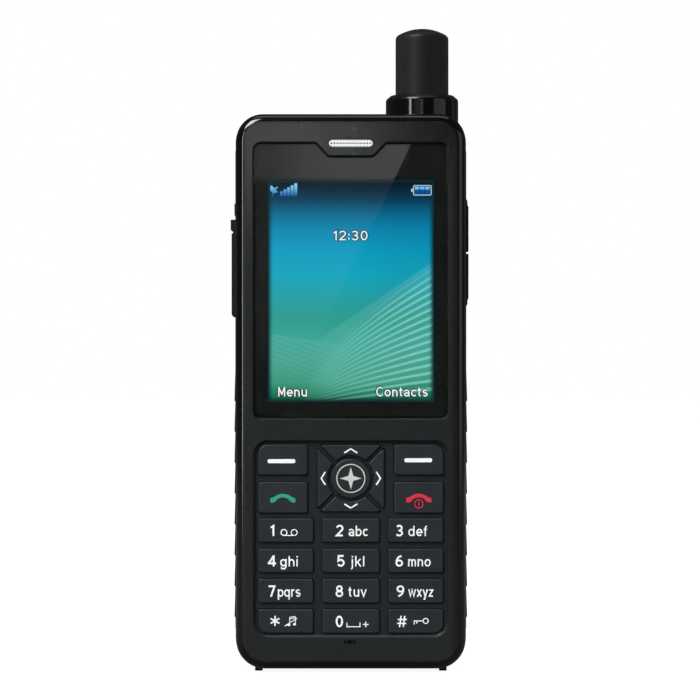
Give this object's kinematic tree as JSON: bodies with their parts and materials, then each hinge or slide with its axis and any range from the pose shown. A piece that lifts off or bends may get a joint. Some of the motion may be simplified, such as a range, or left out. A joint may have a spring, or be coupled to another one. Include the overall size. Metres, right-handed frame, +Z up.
{
  "type": "satellite phone",
  "caption": "Upright candy-bar satellite handset with a colour display, dial keypad, pull-out stub antenna, side keys, a rubber port flap and a lift-off battery door.",
  "frame": {"origin": "middle of the footprint, on the surface the handset stands on, under its two foot ribs", "axes": "+Z up along the handset towards the antenna, +Y from the keypad face to the back, +X to the right seen from the front"},
  "size_m": [0.0591, 0.027, 0.1597],
  "materials": {
    "gloss_shell": "high-gloss black moulding with a faint satin face",
    "rear_shell": "fine-textured black glass-filled plastic",
    "grip_rubber": "matt black overmoulded rubber",
    "screw_steel": "black-oxide steel",
    "lens_glass": "clear polished window with a black printed border",
    "display_stack": "lit colour display behind clear glass",
    "grille_metal": "bright perforated sheet",
    "device_black": "moulded black device body",
    "silicone": "soft silicone",
    "dome_metal": "stainless snap domes on film",
    "board_green": "green solder mask",
    "tin": "tinned sheet",
    "patch_ceramic": "sintered patch with silvered top",
    "tube_plastic": "low-friction moulded liner",
    "contact_brass": "gold-plated spring contact",
    "copper_print": "printed copper on film",
    "radome_plastic": "satin black moulded stub",
    "battery_wrap": "plain dark wrap over the cells",
    "socket_black": "moulded socket body",
    "steel_pin": "polished steel bar",
    "key_plastic": "satin charcoal key caps with printed legends",
    "side_key": "textured black side keys"
  },
  "bodies": {
    "handset": {"front_cover": "gloss_shell", "rear_housing": "rear_shell", "side_grip_left": "grip_rubber", "side_grip_right": "grip_rubber", "housing_screws": "screw_steel", "display_lens": "lens_glass", "lcd_module": "display_stack", "earpiece_grille": "grille_metal", "earpiece_speaker": "device_black", "microphone": "device_black", "keypad_membrane": "silicone", "dome_sheet": "dome_metal", "main_board": "board_green", "shield_cans": "tin", "gps_antenna": "patch_ceramic", "antenna_guide_tube": "tube_plastic", "antenna_collar": "gloss_shell", "antenna_contact": "contact_brass", "battery_pack": "battery_wrap", "battery_connector": "device_black", "sim_holder": "tin", "loudspeaker": "device_black", "vibration_motor": "tin", "io_board": "board_green", "usb_socket": "tin", "headset_socket": "socket_black", "dc_socket": "socket_black", "side_key_flex": "copper_print", "lanyard_bar": "steel_pin", "housing_seal": "silicone", "battery_seal": "silicone"},
    "antenna": {"antenna_radome": "radome_plastic", "antenna_core": "tube_plastic", "antenna_radiator": "copper_print"},
    "battery_door": {"battery_cover": "rear_shell"},
    "door_lock": {"cover_lock": "screw_steel"},
    "port_flap": {"port_cover": "grip_rubber"},
    "volume_up": {"volume_up_key": "side_key"},
    "volume_down": {"volume_down_key": "side_key"},
    "soft_key_left": {"soft_key_left": "key_plastic"},
    "soft_key_right": {"soft_key_right": "key_plastic"},
    "call_key": {"call_key": "key_plastic"},
    "end_key": {"end_key": "key_plastic"},
    "nav_key_up": {"nav_key_up": "key_plastic"},
    "nav_key_right": {"nav_key_right": "key_plastic"},
    "nav_key_down": {"nav_key_down": "key_plastic"},
    "nav_key_left": {"nav_key_left": "key_plastic"},
    "nav_key_center": {"nav_key_center": "key_plastic"},
    "key_1": {"key_1": "key_plastic"},
    "key_2": {"key_2": "key_plastic"},
    "key_3": {"key_3": "key_plastic"},
    "key_4": {"key_4": "key_plastic"},
    "key_5": {"key_5": "key_plastic"},
    "key_6": {"key_6": "key_plastic"},
    "key_7": {"key_7": "key_plastic"},
    "key_8": {"key_8": "key_plastic"},
    "key_9": {"key_9": "key_plastic"},
    "key_star": {"key_star": "key_plastic"},
    "key_0": {"key_0": "key_plastic"},
    "key_hash": {"key_hash": "key_plastic"}
  },
  "joints": [
    {"name": "antenna_slide", "type": "slide", "parent": "handset", "child": "antenna", "axis": [0, 0, 1], "range_m": [0, 0.05]},
    {"name": "battery_door_lift", "type": "slide", "parent": "handset", "child": "battery_door", "axis": [0, 1, 0], "range_m": [0, 0.02]},
    {"name": "door_lock_turn", "type": "hinge", "parent": "battery_door", "child": "door_lock", "pos_m": [0, 0.0125, 0.0753], "axis": [0, 1, 0], "range_deg": [0, 90]},
    {"name": "port_cover_hinge", "type": "hinge", "parent": "handset", "child": "port_flap", "pos_m": [-0.02857, 0.0001, 0.08812], "axis": [0, -1, 0], "range_deg": [0, 110]},
    {"name": "volume_up_press", "type": "slide", "parent": "handset", "child": "volume_up", "axis": [-1, 0, 0], "range_m": [0, 0.0004], "stiffness_N_per_m": 3000, "springref_m": -0.0003},
    {"name": "volume_down_press", "type": "slide", "parent": "handset", "child": "volume_down", "axis": [-1, 0, 0], "range_m": [0, 0.0004], "stiffness_N_per_m": 3000, "springref_m": -0.0003},
    {"name": "soft_key_left_press", "type": "slide", "parent": "handset", "child": "soft_key_left", "axis": [0, 1, 0], "range_m": [0, 0.0005], "stiffness_N_per_m": 3000, "springref_m": -0.0003},
    {"name": "soft_key_right_press", "type": "slide", "parent": "handset", "child": "soft_key_right", "axis": [0, 1, 0], "range_m": [0, 0.0005], "stiffness_N_per_m": 3000, "springref_m": -0.0003},
    {"name": "call_key_press", "type": "slide", "parent": "handset", "child": "call_key", "axis": [0, 1, 0], "range_m": [0, 0.0005], "stiffness_N_per_m": 3000, "springref_m": -0.0003},
    {"name": "end_key_press", "type": "slide", "parent": "handset", "child": "end_key", "axis": [0, 1, 0], "range_m": [0, 0.0005], "stiffness_N_per_m": 3000, "springref_m": -0.0003},
    {"name": "nav_key_up_press", "type": "slide", "parent": "handset", "child": "nav_key_up", "axis": [0, 1, 0], "range_m": [0, 0.0005], "stiffness_N_per_m": 3000, "springref_m": -0.0003},
    {"name": "nav_key_right_press", "type": "slide", "parent": "handset", "child": "nav_key_right", "axis": [0, 1, 0], "range_m": [0, 0.0005], "stiffness_N_per_m": 3000, "springref_m": -0.0003},
    {"name": "nav_key_down_press", "type": "slide", "parent": "handset", "child": "nav_key_down", "axis": [0, 1, 0], "range_m": [0, 0.0005], "stiffness_N_per_m": 3000, "springref_m": -0.0003},
    {"name": "nav_key_left_press", "type": "slide", "parent": "handset", "child": "nav_key_left", "axis": [0, 1, 0], "range_m": [0, 0.0005], "stiffness_N_per_m": 3000, "springref_m": -0.0003},
    {"name": "nav_key_center_press", "type": "slide", "parent": "handset", "child": "nav_key_center", "axis": [0, 1, 0], "range_m": [0, 0.0005], "stiffness_N_per_m": 3000, "springref_m": -0.0003},
    {"name": "key_1_press", "type": "slide", "parent": "handset", "child": "key_1", "axis": [0, 1, 0], "range_m": [0, 0.0005], "stiffness_N_per_m": 3000, "springref_m": -0.0003},
    {"name": "key_2_press", "type": "slide", "parent": "handset", "child": "key_2", "axis": [0, 1, 0], "range_m": [0, 0.0005], "stiffness_N_per_m": 3000, "springref_m": -0.0003},
    {"name": "key_3_press", "type": "slide", "parent": "handset", "child": "key_3", "axis": [0, 1, 0], "range_m": [0, 0.0005], "stiffness_N_per_m": 3000, "springref_m": -0.0003},
    {"name": "key_4_press", "type": "slide", "parent": "handset", "child": "key_4", "axis": [0, 1, 0], "range_m": [0, 0.0005], "stiffness_N_per_m": 3000, "springref_m": -0.0003},
    {"name": "key_5_press", "type": "slide", "parent": "handset", "child": "key_5", "axis": [0, 1, 0], "range_m": [0, 0.0005], "stiffness_N_per_m": 3000, "springref_m": -0.0003},
    {"name": "key_6_press", "type": "slide", "parent": "handset", "child": "key_6", "axis": [0, 1, 0], "range_m": [0, 0.0005], "stiffness_N_per_m": 3000, "springref_m": -0.0003},
    {"name": "key_7_press", "type": "slide", "parent": "handset", "child": "key_7", "axis": [0, 1, 0], "range_m": [0, 0.0005], "stiffness_N_per_m": 3000, "springref_m": -0.0003},
    {"name": "key_8_press", "type": "slide", "parent": "handset", "child": "key_8", "axis": [0, 1, 0], "range_m": [0, 0.0005], "stiffness_N_per_m": 3000, "springref_m": -0.0003},
    {"name": "key_9_press", "type": "slide", "parent": "handset", "child": "key_9", "axis": [0, 1, 0], "range_m": [0, 0.0005], "stiffness_N_per_m": 3000, "springref_m": -0.0003},
    {"name": "key_star_press", "type": "slide", "parent": "handset", "child": "key_star", "axis": [0, 1, 0], "range_m": [0, 0.0005], "stiffness_N_per_m": 3000, "springref_m": -0.0003},
    {"name": "key_0_press", "type": "slide", "parent": "handset", "child": "key_0", "axis": [0, 1, 0], "range_m": [0, 0.0005], "stiffness_N_per_m": 3000, "springref_m": -0.0003},
    {"name": "key_hash_press", "type": "slide", "parent": "handset", "child": "key_hash", "axis": [0, 1, 0], "range_m": [0, 0.0005], "stiffness_N_per_m": 3000, "springref_m": -0.0003}
  ]
}
